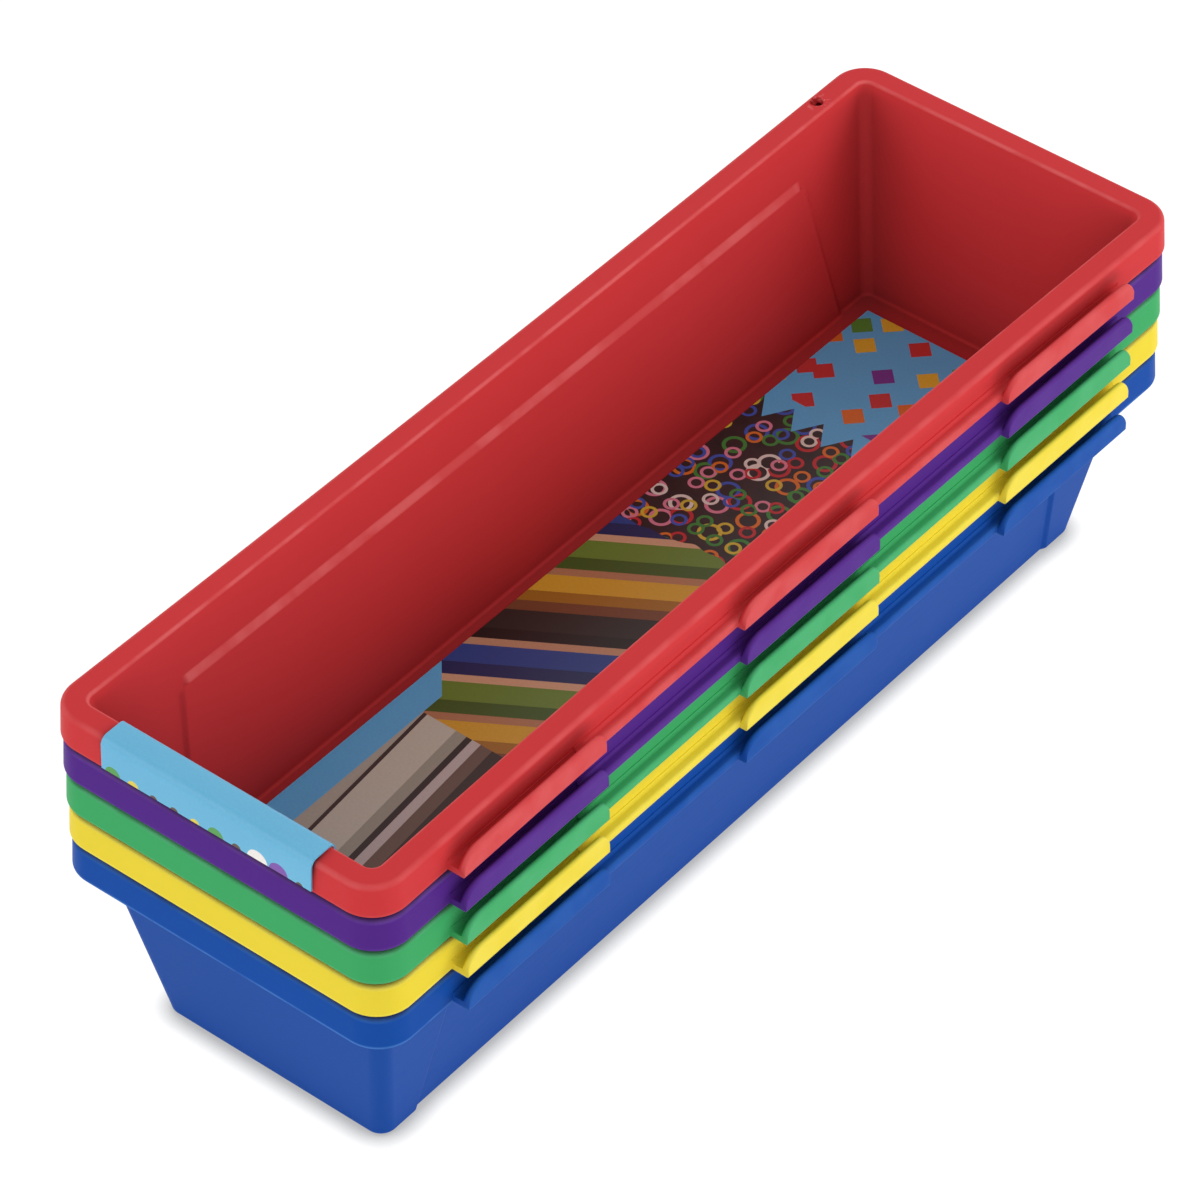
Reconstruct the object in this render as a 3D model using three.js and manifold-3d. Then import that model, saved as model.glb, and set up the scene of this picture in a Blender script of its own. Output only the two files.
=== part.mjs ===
import * as THREE from 'three';
import { mergeVertices } from 'three/addons/utils/BufferGeometryUtils.js';
import Module from 'manifold-3d';

// A nested set of five long desk trays with a printed card laid in the top one.
// Millimetres. X runs across the trays, Y along them and Z up.
// The origin is the centre of the lowest tray's underside.

// Tray shell
const trayLength = 260;
const trayWidth = 85.2;
const trayHeight = 51.3;
const wallThickness = 1.3;
const floorThickness = 1.6;
const wallDraft = THREE.MathUtils.degToRad(10.2);
const cornerRadiusTop = 2.4;
const cornerRadiusFoot = 2.4;
const floorFillet = 0.8;
const footRadius = 0.9;

// Rim: a flat flange with a skirt that turns down from it
const rimWidth = 5.5;
const rimCornerRadius = 8;
const rimEdgeRadius = 1.2;
const rimInnerRadius = 0.8;
const flangeThickness = 1.5;
const skirtHeight = 7.8;
const skirtDraft = THREE.MathUtils.degToRad(3.5);
const skirtThickness = 1.4;
const skirtChamfer = 0.3;

// Panel that both long walls step in by, from below the rim down to the foot
const panelStep = 0.7;
const panelDrop = 12.2;
const panelShoulder = 1.0;
const shoulderShare = 0.7;
const panelEndTop = 30.7;
const panelEndBase = 24.6;
const panelEndRamp = 1.6;
const panelCorner = 1.5;

// Hooks along the right-hand skirt, which take the skirt of a tray beside it
const hookCount = 3;
const hookLength = 43.4;
const hookPitch = 87.2;
const hookShift = -0.8;
const hookReach = 4.1;
const hookLipHeight = 5.6;
const hookLipThickness = 1.5;
const hookFloorThickness = 1.6;
const hookLipLeast = 0.2;
const hookEdge = 0.5;
const hookRampLength = 5;
const hookEndRadius = 2.8;
const hookLastEndRadius = 3.4;

// Ledge that joins the hooks along the foot of the skirt
const ledgeReach = 2.3;
const ledgeThickness = 2.1;
const ledgeEdge = 0.5;

// Hole for a tag in the flange, near one corner
const tagHoleDiameter = 3.2;
const tagHoleInset = 2.5;
const tagHoleFromEnd = 18.2;
const tagDrillOver = 0.1;

// Nesting
const nestClearance = 0.3;
const trays = [
  { name: 'blue_tray', color: 0x2a5aa8, bow: [0.3, 0.55] },
  { name: 'yellow_tray', color: 0xfbe045, bow: [0.3, 0.55] },
  { name: 'green_tray', color: 0x4bab68, bow: [0.3, 0.55] },
  { name: 'purple_tray', color: 0x5e3192, bow: [0.4, 0.7] },
  { name: 'red_tray', color: 0xcc3a3a, bow: [0.65, 1.5] },
];

// Card: lies on the top tray's floor, climbs its near end and folds over the rim
const cardThickness = 0.4;
const cardClearance = 0.3;
const cardSideClearance = 0.7;
const cardFarMargin = 5.5;
const cardBendRadius = 3.5;
const cardWallTaper = 1.8;
const cardFloorTaper = 1.6;

const cornerSteps = 5;
const sideSteps = 6;

// Each tray slides down until its wall meets the wall around it,
// or until its skirt reaches the rim below, whichever comes first.
const wallStop = (wallThickness + nestClearance) / Math.sin(wallDraft);
const stackStep = Math.max(wallStop, skirtHeight + nestClearance);

const draftSlope = Math.tan(wallDraft);
const wallAcross = wallThickness / Math.cos(wallDraft);

// Distance of the inner and outer wall faces in from the rim's edge, at a height above the underside
const innerInset = (z) => rimWidth + draftSlope * (trayHeight - z);
const outerInset = (z) => innerInset(z) - wallAcross;

// Radius of the inner wall's corners at a height, tighter towards the foot
const innerCorner = (z) => THREE.MathUtils.lerp(cornerRadiusFoot, cornerRadiusTop, z / trayHeight);
const outerCorner = (z) => innerCorner(z) + wallAcross;

// How far the skirt leans out at a height, widest along its foot
const skirtFoot = trayHeight - skirtHeight;
const skirtLean = (z) => Math.tan(skirtDraft) * Math.max(trayHeight - rimEdgeRadius - z, 0);

// Half length of the side panel at a height: wider towards the foot, with rounded upper corners
const panelTop = trayHeight - panelDrop;
const panelLow = panelTop - panelShoulder;
function panelHalf(z) {
  const low = THREE.MathUtils.clamp((panelTop - z) / panelTop, 0, 1);
  const below = THREE.MathUtils.clamp((panelLow - z) / panelCorner, 0, 1);
  const rounded = panelCorner * (1 - Math.sqrt(1 - (1 - below) ** 2));
  return trayLength / 2 - THREE.MathUtils.lerp(panelEndTop, panelEndBase, low) - rounded;
}

// How far a long side bows inward at a station, for a tray of the given bow
function bowAt(bow, side, y, z) {
  const amount = side < 0 ? bow[0] : bow[1];
  const along = 1 - (2 * y / trayLength) ** 2;
  return amount * Math.max(along, 0) * z / trayHeight;
}

// Points of a quarter circle between two directions, around a centre
function arc(cx, cy, radius, from, to, steps) {
  const points = [];
  for (let i = 0; i <= steps; i += 1) {
    const angle = from + (to - from) * i / steps;
    points.push([cx + radius * Math.cos(angle), cy + radius * Math.sin(angle)]);
  }
  return points;
}

// Outline of the tray at one height, counter-clockwise seen from above
function outline(inset, z, radius, step, bow) {
  const halfX = trayWidth / 2 - inset;
  const halfY = trayLength / 2 - inset;
  const r = Math.max(radius, 0.2);
  const inner = panelHalf(z);
  const sides = [inner + panelEndRamp];
  for (let i = 0; i <= sideSteps; i += 1) sides.push(inner * (1 - 2 * i / sideSteps));
  sides.push(-inner - panelEndRamp);
  const quarter = Math.PI / 2;
  const left = sides.map((y) => [-halfX, y]);
  const right = sides.map((y) => [halfX, -y]);
  const plan = [
    ...arc(-halfX + r, -halfY + r, r, 2 * quarter, 3 * quarter, cornerSteps),
    ...arc(halfX - r, -halfY + r, r, 3 * quarter, 4 * quarter, cornerSteps),
    ...right,
    ...arc(halfX - r, halfY - r, r, 0, quarter, cornerSteps),
    ...arc(-halfX + r, halfY - r, r, quarter, 2 * quarter, cornerSteps),
    ...left,
  ];
  return plan.map(([x, y]) => {
    const side = Math.sign(x);
    const isPanel = Math.abs(y) <= inner + 1e-6 && Math.abs(x) > halfX - 1e-6;
    const inward = bowAt(bow, side, y, z) + (isPanel ? step : 0);
    return new THREE.Vector3(x - side * inward, y, z);
  });
}

// Closed section of the shell, from the underside out, up, over the rim and down inside.
// Each entry is [inset from the rim's edge, height, corner radius, panel step].
function shellSection() {
  const quarter = Math.PI / 2;
  const top = trayHeight;
  const floor = floorThickness;
  const outerShoulder = panelTop - wallThickness * shoulderShare;
  const section = [];
  const add = (inset, z, radius, step) => section.push([inset, z, radius, step]);
  const addRim = (inset, z) => add(inset, z, rimCornerRadius - inset, 0);
  const panelRings = [1, 0.3, 0].map((share) => panelLow - share * panelCorner);
  const footInset = outerInset(footRadius);
  for (const [a, b] of arc(footInset + footRadius, footRadius, footRadius, 3 * quarter, 2 * quarter, 2)) {
    add(a, b, outerCorner(footRadius) - (a - footInset), panelStep);
  }
  for (const z of panelRings) {
    const low = z + outerShoulder - panelTop;
    add(outerInset(low), low, outerCorner(low), panelStep);
  }
  add(outerInset(outerShoulder), outerShoulder, outerCorner(outerShoulder), 0);
  const under = top - flangeThickness;
  add(outerInset(under), under, outerCorner(under), 0);
  addRim(skirtThickness - skirtLean(under), under);
  addRim(skirtThickness - skirtLean(skirtFoot), skirtFoot);
  addRim(skirtChamfer - skirtLean(skirtFoot), skirtFoot);
  addRim(-skirtLean(skirtFoot + skirtChamfer), skirtFoot + skirtChamfer);
  for (const [a, b] of arc(rimEdgeRadius, top - rimEdgeRadius, rimEdgeRadius, 2 * quarter, quarter, 2)) {
    addRim(a, b);
  }
  const lipInset = innerInset(top - rimInnerRadius);
  const roundInset = lipInset - rimInnerRadius;
  for (const [a, b] of arc(roundInset, top - rimInnerRadius, rimInnerRadius, quarter, 0, 2)) {
    add(a, b, innerCorner(b) + lipInset - a, 0);
  }
  add(innerInset(panelTop), panelTop, innerCorner(panelTop), 0);
  for (const z of panelRings.toReversed()) add(innerInset(z), z, innerCorner(z), panelStep);
  const filletInset = innerInset(floor + floorFillet);
  for (const [a, b] of arc(filletInset, floor + floorFillet, floorFillet, 2 * quarter, 3 * quarter, 2)) {
    add(a + floorFillet, b, innerCorner(b) - (a + floorFillet - filletInset), panelStep);
  }
  return section;
}

// Skins a stack of rings of equal point count and caps both ends
function skin(rings) {
  const count = rings[0].length;
  const positions = rings.flat().flatMap((p) => [p.x, p.y, p.z]);
  const index = [];
  for (let k = 0; k + 1 < rings.length; k += 1) {
    for (let i = 0; i < count; i += 1) {
      const j = (i + 1) % count;
      const a = k * count + i;
      const b = k * count + j;
      const c = a + count;
      const d = b + count;
      index.push(a, b, c, b, d, c);
    }
  }
  for (const [k, flip] of [[0, true], [rings.length - 1, false]]) {
    const flat = capPlane(rings[k]);
    for (const [a, b, c] of THREE.ShapeUtils.triangulateShape(flat, [])) {
      const face = flip ? [a, c, b] : [a, b, c];
      index.push(...face.map((i) => k * count + i));
    }
  }
  const geometry = new THREE.BufferGeometry();
  geometry.setAttribute('position', new THREE.Float32BufferAttribute(positions, 3));
  geometry.setIndex(index);
  return geometry;
}

// Flat coordinates of a ring, in the plane that it spans
function capPlane(ring) {
  const level = ring.every((p) => Math.abs(p.z - ring[0].z) < 1e-6);
  return ring.map((p) => (level ? new THREE.Vector2(p.x, p.y) : new THREE.Vector2(p.z, p.x)));
}

// Height of a hook's lip at a distance from its start: a quarter-round rise, then a rounded end
function lipHeightAt(from, length, endRadius) {
  const low = hookFloorThickness;
  const rise = hookLipHeight - low;
  const near = THREE.MathUtils.clamp(from / hookRampLength, 0, 1);
  const far = THREE.MathUtils.clamp((length - from) / endRadius, 0, 1);
  const up = Math.sqrt(1 - (1 - near) ** 2) * rise;
  const down = rise - Math.min(endRadius, rise) * (1 - Math.sqrt(1 - (1 - far) ** 2));
  return low + Math.min(up, down);
}

// Cross-section of a hook: a trough whose outer wall is the lip
function hookSection(lip) {
  const inside = -skirtThickness / 2;
  const face = hookReach - hookLipThickness;
  const round = hookLipThickness / 2;
  const crown = Math.min(round, (lip - hookFloorThickness) * 0.4);
  const points = [[inside, 0], [hookReach - hookEdge, 0], [hookReach, hookEdge]];
  for (let i = 0; i <= 4; i += 1) {
    const angle = Math.PI * i / 4;
    points.push([face + round + round * Math.cos(angle), lip - crown + crown * Math.sin(angle)]);
  }
  const trough = Math.min(hookEdge, crown);
  points.push([face, hookFloorThickness + trough]);
  points.push([face - hookEdge, hookFloorThickness]);
  points.push([inside, hookFloorThickness]);
  return points;
}

// Carries a section along the foot of the right-hand skirt, following its bow
function alongSkirt(stations, sectionAt, bow) {
  const rings = stations.map((y) => sectionAt(y).reverse().map(([x, z]) => {
    const skirtX = trayWidth / 2 + skirtLean(skirtFoot) - bowAt(bow, 1, y, skirtFoot);
    return new THREE.Vector3(skirtX + x, y, skirtFoot + z);
  }));
  return skin(rings);
}

function hook(number, bow) {
  const centre = (number - (hookCount - 1) / 2) * hookPitch + hookShift;
  const start = centre - hookLength / 2;
  const endRadius = number === hookCount - 1 ? hookLastEndRadius : hookEndRadius;
  const stations = [0.02, 0.1, 0.3, 0.6, 1].map((t) => t * hookRampLength);
  stations.push(hookLength / 2);
  stations.push(...[1, 0.5, 0.15, 0].map((t) => hookLength - t * endRadius));
  const lipAt = (y) => lipHeightAt(y - start, hookLength, endRadius);
  const sectionAt = (y) => hookSection(Math.max(lipAt(y), hookFloorThickness + hookLipLeast));
  return alongSkirt(stations.map((s) => start + s), sectionAt, bow);
}

function ledge(bow) {
  const reach = (hookCount - 1) / 2 * hookPitch - hookLength / 2 + hookRampLength;
  const inside = -skirtThickness / 2;
  const points = [
    [inside, 0], [ledgeReach - ledgeEdge, 0],
    [ledgeReach, ledgeEdge], [ledgeReach, ledgeThickness - ledgeEdge],
    [ledgeReach - ledgeEdge, ledgeThickness], [ledgeEdge, ledgeThickness],
    [0, ledgeThickness + ledgeEdge], [inside, ledgeThickness + ledgeEdge],
  ];
  const stations = [-1, -0.6, -0.2, 0.2, 0.6, 1].map((t) => t * reach + hookShift);
  return alongSkirt(stations, () => [...points], bow);
}

const wasm = await Module();
wasm.setup();

function toSolid(geometry) {
  const bare = geometry.clone();
  bare.deleteAttribute('normal');
  bare.deleteAttribute('uv');
  const merged = mergeVertices(bare.index ? bare.toNonIndexed() : bare, 1e-4);
  return new wasm.Manifold(new wasm.Mesh({
    numProp: 3,
    vertProperties: new Float32Array(merged.attributes.position.array),
    triVerts: new Uint32Array(merged.index.array),
  }));
}

function toGeometry(solid) {
  const mesh = solid.getMesh();
  const geometry = new THREE.BufferGeometry();
  geometry.setAttribute('position', new THREE.Float32BufferAttribute(mesh.vertProperties, 3));
  geometry.setIndex(Array.from(mesh.triVerts));
  geometry.computeVertexNormals();
  return geometry;
}

function tray(bow) {
  const rings = shellSection().map(([inset, z, radius, step]) => outline(inset, z, radius, step, bow));
  let solid = toSolid(skin(rings));
  for (let i = 0; i < hookCount; i += 1) solid = solid.add(toSolid(hook(i, bow)));
  solid = solid.add(toSolid(ledge(bow)));
  const drillRadius = tagHoleDiameter / 2;
  const drillLength = flangeThickness + 2 * tagDrillOver;
  const drill = new THREE.CylinderGeometry(drillRadius, drillRadius, drillLength, 16);
  drill.rotateX(Math.PI / 2);
  const [holeX, holeY] = [-trayWidth / 2 + tagHoleInset, trayLength / 2 - tagHoleFromEnd];
  drill.translate(holeX, holeY, trayHeight - flangeThickness / 2);
  return toGeometry(solid.subtract(toSolid(drill)));
}

// Rounds the corners of an open path of [y, z] points
function roundedPath(corners, radii) {
  const points = corners.map(([a, b]) => new THREE.Vector2(a, b));
  const result = [points[0]];
  for (let i = 1; i + 1 < points.length; i += 1) {
    const back = points[i - 1].clone().sub(points[i]).normalize();
    const on = points[i + 1].clone().sub(points[i]).normalize();
    const half = Math.acos(THREE.MathUtils.clamp(back.dot(on), -1, 1)) / 2;
    const reach = radii[i - 1] / Math.tan(half);
    const middle = back.clone().add(on).normalize();
    const centre = points[i].clone().addScaledVector(middle, radii[i - 1] / Math.sin(half));
    const first = points[i].clone().addScaledVector(back, reach).sub(centre);
    const last = points[i].clone().addScaledVector(on, reach).sub(centre);
    let turn = last.angle() - first.angle();
    if (turn > Math.PI) turn -= 2 * Math.PI;
    if (turn < -Math.PI) turn += 2 * Math.PI;
    for (let k = 0; k <= 5; k += 1) {
      result.push(first.clone().rotateAround(new THREE.Vector2(), turn * k / 5).add(centre));
    }
  }
  result.push(points[points.length - 1]);
  return result;
}

// Gives an open path a thickness, half on each side
function ribbon(path, thickness) {
  const side = (sign) => path.map((p, i) => {
    const before = path[Math.max(i - 1, 0)];
    const after = path[Math.min(i + 1, path.length - 1)];
    const into = p.clone().sub(before).normalize();
    const out = after.clone().sub(p).normalize();
    const along = into.add(out).normalize();
    return new THREE.Vector2(-along.y, along.x).multiplyScalar(sign * thickness / 2).add(p);
  });
  return new THREE.Shape([...side(1), ...side(-1).reverse()]);
}

// How far the card's left edge draws in: down the near wall, then along the floor
function cardTaper(y, z) {
  if (y < -trayLength / 2 + rimWidth / 2) return 0;
  const down = THREE.MathUtils.clamp((trayHeight - z) / (trayHeight - floorThickness), 0, 1);
  const along = THREE.MathUtils.clamp(y / trayLength + 0.5, 0, 1);
  return down * (cardWallTaper + cardFloorTaper * along);
}

function card() {
  const off = cardClearance + cardThickness / 2;
  const floor = floorThickness + off;
  const wallAt = (z) => -trayLength / 2 + innerInset(z) + off / Math.cos(wallDraft);
  const top = trayHeight + off;
  const far = trayLength / 2 - innerInset(floor) - cardFarMargin;
  const width = trayWidth - 2 * (innerInset(floorThickness) + panelStep + cardSideClearance);
  const skirtFace = -trayLength / 2 - off;
  const corners = [
    [far, floor], [wallAt(floor), floor], [wallAt(top), top],
    [skirtFace, top], [skirtFace - skirtLean(skirtFoot), skirtFoot],
  ];
  const radii = [cardBendRadius, rimInnerRadius + off, rimEdgeRadius + off];
  const shape = ribbon(roundedPath(corners, radii), cardThickness);
  const geometry = new THREE.ExtrudeGeometry(shape, { depth: width, bevelEnabled: false });
  geometry.rotateX(Math.PI / 2);
  geometry.rotateZ(Math.PI / 2);
  geometry.translate(-width / 2, 0, 0);
  const points = geometry.attributes.position;
  for (let i = 0; i < points.count; i += 1) {
    const onLeft = points.getX(i) < 0;
    if (onLeft) points.setX(i, points.getX(i) + cardTaper(points.getY(i), points.getZ(i)));
  }
  return geometry;
}

const object = new THREE.Group();
trays.forEach(({ name, color, bow }, level) => {
  const material = new THREE.MeshStandardMaterial({ color, roughness: 0.42, metalness: 0 });
  const mesh = new THREE.Mesh(tray(bow), material);
  mesh.name = name;
  mesh.position.z = level * stackStep;
  object.add(mesh);
});

const cardMaterial = new THREE.MeshStandardMaterial({ color: 0x70b5d7, roughness: 0.5, metalness: 0 });
const cardMesh = new THREE.Mesh(card(), cardMaterial);
cardMesh.name = 'card_insert';
cardMesh.position.z = (trays.length - 1) * stackStep;
object.add(cardMesh);

export default object;
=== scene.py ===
import math

import bmesh
import bpy
from mathutils import Matrix, Vector


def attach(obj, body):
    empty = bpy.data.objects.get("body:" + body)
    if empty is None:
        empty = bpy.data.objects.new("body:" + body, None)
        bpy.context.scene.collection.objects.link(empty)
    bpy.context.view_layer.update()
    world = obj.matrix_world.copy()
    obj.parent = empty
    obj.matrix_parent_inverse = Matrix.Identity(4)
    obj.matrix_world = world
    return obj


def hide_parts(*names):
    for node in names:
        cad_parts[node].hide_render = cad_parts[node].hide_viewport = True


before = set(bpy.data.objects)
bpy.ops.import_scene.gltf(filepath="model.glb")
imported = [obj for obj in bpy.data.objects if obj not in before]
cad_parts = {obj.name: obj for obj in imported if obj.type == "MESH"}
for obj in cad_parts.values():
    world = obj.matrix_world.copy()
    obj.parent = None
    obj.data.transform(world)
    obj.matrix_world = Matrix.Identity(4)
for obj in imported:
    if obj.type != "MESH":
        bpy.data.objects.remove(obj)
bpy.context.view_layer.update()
MM = 0.001

# Sizes of the trays and the card, in millimetres
LENGTH, WIDTH, HEIGHT = 260.0, 85.2, 51.3
WALL, FLOOR, DRAFT = 1.3, 1.6, math.radians(10.2)
CORNER_TOP, CORNER_FOOT = 2.4, 2.4
FLOOR_FILLET, FOOT_RADIUS = 0.8, 0.9
RIM_WIDTH, RIM_CORNER, RIM_EDGE, RIM_INNER = 5.5, 8.0, 1.2, 0.8
FLANGE, SKIRT, SKIRT_HEIGHT, SKIRT_DRAFT = 1.5, 1.4, 7.8, math.radians(3.5)
PANEL_STEP, PANEL_DROP, PANEL_SHOULDER, PANEL_CORNER = 0.7, 12.2, 1.0, 1.5
PANEL_END_TOP, PANEL_END_BASE, PANEL_RAMP, SHOULDER_SPREAD = 30.7, 24.6, 1.6, 1.1
OUTER_DROP = WALL * 0.7
HOOKS, HOOK_LENGTH, HOOK_PITCH, HOOK_SHIFT, HOOK_REACH = 3, 43.4, 87.2, -0.8, 4.1
LIP_HEIGHT, LIP, HOOK_FLOOR, HOOK_RAMP, LEAST_LIP = 5.6, 1.5, 1.6, 5.0, 0.2
HOOK_END, HOOK_LAST_END, CROWN_SHARE = 2.8, 3.4, 0.4
LEDGE_REACH, LEDGE = 2.3, 2.1
SKIRT_EDGE, UNDER_FILLET, HOOK_EDGE, HOOK_FILLET, LEDGE_EDGE, LEDGE_CROWN = 0.3, 0.5, 0.5, 0.8, 0.5, 0.7
TAG_HOLE, TAG_INSET, TAG_FROM_END, DRILL_PAST = 3.2, 2.5, 18.2, 0.1
NEST_GAP, LEAST_RADIUS = 0.3, 0.2
CARD, CARD_GAP, CARD_SIDE_GAP, CARD_FAR, CARD_BEND = 0.4, 0.3, 0.7, 5.5, 3.5
CARD_WALL_TAPER, CARD_FLOOR_TAPER, FLAP_END = 1.8, 1.6, 44.3
# Steps of a tray's corners and of the flat of its sides, of the ledge, and of the card's length, width
# and bends, and the angle in degrees from which an edge shows as sharp
CORNER_STEPS, SIDE_STEPS, LEDGE_STEPS, CARD_STEPS, CARD_STRIPS, BEND_STEPS = 14, 24, 24, 30, 12, 10
SHARP_ANGLE = 40

SLOPE = math.tan(DRAFT)
WALL_ACROSS = WALL / math.cos(DRAFT)
STACK_STEP = max((WALL + NEST_GAP) / math.sin(DRAFT), SKIRT_HEIGHT + NEST_GAP)
PANEL_TOP = HEIGHT - PANEL_DROP
PANEL_LOW = PANEL_TOP - PANEL_SHOULDER
SKIRT_FOOT = HEIGHT - SKIRT_HEIGHT
CARD_HALF = WIDTH / 2 - RIM_WIDTH - SLOPE * (HEIGHT - FLOOR) - PANEL_STEP - CARD_SIDE_GAP

# Colour of each tray and the paler colour of its edges, where rubbing marks them and where a highlight
# is painted on them, how its left and right sides bow, and how pale the foot of its skirt and its hooks
# are, from rubbing and painted highlight
TRAYS = (
    ("blue", "#184EA5", "#4F86CF", (0.3, 0.55), 0.75, 0.15),
    ("yellow", "#F0D83E", "#FFF07A", (0.3, 0.55), 0.3, 0.25),
    ("green", "#41AA66", "#74CB9B", (0.3, 0.55), 0.15, 0.2),
    ("purple", "#542A88", "#8C64C0", (0.4, 0.7), 0.15, 0.08),
    ("red", "#D03C3F", "#E37272", (0.65, 1.5), 0.2, 0.35),
)

# Marks that each point of a tray carries: how pale its edge is, from rubbing and painted highlight, how
# much painted shade it takes at the rim's edge, and how much painted shade on the inside, with more
# than 1 in its creases
MARKS = ("worn_edge_and_highlight", "rim_gap_shade", "inner_shade")
CREASE = 1.25

# Most paleness on each rounded edge, from rubbing and painted highlight, and the level that the
# paleness of the panel's inner step stops at
FOOT_WEAR_AND_HIGHLIGHT, SHOULDER_WEAR_AND_HIGHLIGHT, RIM_WEAR_AND_HIGHLIGHT, LIP_WEAR_AND_HIGHLIGHT = 0.4, 0.3, 0.35, 0.6
HOOK_WEAR_AND_HIGHLIGHT, STEP_WEAR_AND_HIGHLIGHT, STEP_LEVEL = 0.8, 1.3, 0.58
# Outer face of the skirt: height over its foot and share of the foot's paleness, from rubbing and
# painted highlight, then depth under the top and share of the painted shade at the rim's edge
RUB_AND_HIGHLIGHT_FADES = ((0.55, 0.6), (0.8, 0.0))
EDGE_FADES = ((4.5, 0.0), (2.2, 0.7))


def linear(hex_colour):
    """An sRGB hex colour as linear red, green, blue and alpha."""
    values = [int(hex_colour[i:i + 2], 16) / 255 for i in (1, 3, 5)]
    return tuple(v / 12.92 if v <= 0.04045 else ((v + 0.055) / 1.055) ** 2.4 for v in values) + (1.0,)


def lerp(a, b, t):
    return a + (b - a) * t


def ease(t):
    """A smooth step from 0 to 1."""
    t = min(max(t, 0.0), 1.0)
    return t * t * (3 - 2 * t)


def arc(cx, cy, radius, start, end, steps):
    """Points of an arc, with angles in degrees."""
    angles = [math.radians(lerp(start, end, i / steps)) for i in range(steps + 1)]
    return [(cx + radius * math.cos(a), cy + radius * math.sin(a)) for a in angles]


# Shape of a tray

def inner_inset(z):
    """How far the wall's inner face lies in from the rim's edge at a height."""
    return RIM_WIDTH + SLOPE * (HEIGHT - z)


def outer_inset(z):
    return inner_inset(z) - WALL_ACROSS


def inner_corner(z):
    """Radius of the wall's upright corners inside, at a height."""
    return lerp(CORNER_FOOT, CORNER_TOP, z / HEIGHT)


def outer_corner(z):
    return inner_corner(z) + WALL_ACROSS


def skirt_lean(z):
    """How far the skirt leans out at a height."""
    return math.tan(SKIRT_DRAFT) * max(HEIGHT - RIM_EDGE - z, 0.0)


def panel_half(z):
    """Half length of the side panel: wider towards the foot, with rounded upper corners."""
    low = min(max((PANEL_TOP - z) / PANEL_TOP, 0.0), 1.0)
    below = min(max((PANEL_LOW - z) / PANEL_CORNER, 0.0), 1.0)
    rounded = PANEL_CORNER * (1 - math.sqrt(1 - (1 - below) ** 2))
    return LENGTH / 2 - lerp(PANEL_END_TOP, PANEL_END_BASE, low) - rounded


def bow_at(bow, side, y, z):
    """How far a long side draws in between its corners: all of it at the rim, none at the foot."""
    amount = bow[0] if side < 0 else bow[1]
    return amount * max(1 - (2 * y / LENGTH) ** 2, 0.0) * z / HEIGHT


def panel_share(y, z):
    """1 on the side panel, 0 past its ends, with a soft ramp between."""
    half = panel_half(z)
    return 1 - ease((abs(y) - half) / PANEL_RAMP)


def tray_ring(inset, z, radius, step, wear_and_highlight, rim_gap_shade, inner, bow):
    """Outline of a tray at one height, counter-clockwise from above."""
    half_x, half_y = WIDTH / 2 - inset, LENGTH / 2 - inset
    radius = max(radius, LEAST_RADIUS)
    half = panel_half(z)
    ramp = [half + PANEL_RAMP * t for t in (1.0, 0.8, 0.6, 0.4, 0.2)]
    flat = [half * (1 - 2 * i / SIDE_STEPS) for i in range(SIDE_STEPS + 1)]
    sides = ramp + flat + [-y for y in reversed(ramp)]
    plan = arc(-half_x + radius, -half_y + radius, radius, 180, 270, CORNER_STEPS)
    plan += arc(half_x - radius, -half_y + radius, radius, 270, 360, CORNER_STEPS)
    plan += [(half_x, -y) for y in sides]
    plan += arc(half_x - radius, half_y - radius, radius, 0, 90, CORNER_STEPS)
    plan += arc(-half_x + radius, half_y - radius, radius, 90, 180, CORNER_STEPS)
    plan += [(-half_x, y) for y in sides]
    # Corner arcs take more painted shade on the inside, most in their middle
    corners = [crest(i, CORNER_STEPS, CREASE - 1) for i in range(CORNER_STEPS + 1)]
    creases = corners * 2 + [0.0] * len(sides) + corners * 2 + [0.0] * len(sides)
    ring = []
    for (x, y), crease in zip(plan, creases):
        side = math.copysign(1, x)
        inward = bow_at(bow, side, y, z)
        share = panel_share(y, z) if abs(x) > half_x - 1e-6 else 0.0
        shown = wear_and_highlight * share if 0.0 < step < PANEL_STEP else wear_and_highlight
        depth = max(inner, 1 + crease) if inner >= 1.0 else inner
        ring.append((x - side * (inward + step * share), y, z, shown, rim_gap_shade, depth))
    return ring


def crest(i, count, most):
    """A share that peaks in the middle of a rounded edge of so many steps: of the edge's paleness, from
    rubbing and painted highlight, and of the painted shade in a crease.
    """
    return most * math.sin(math.pi * i / count)


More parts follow.
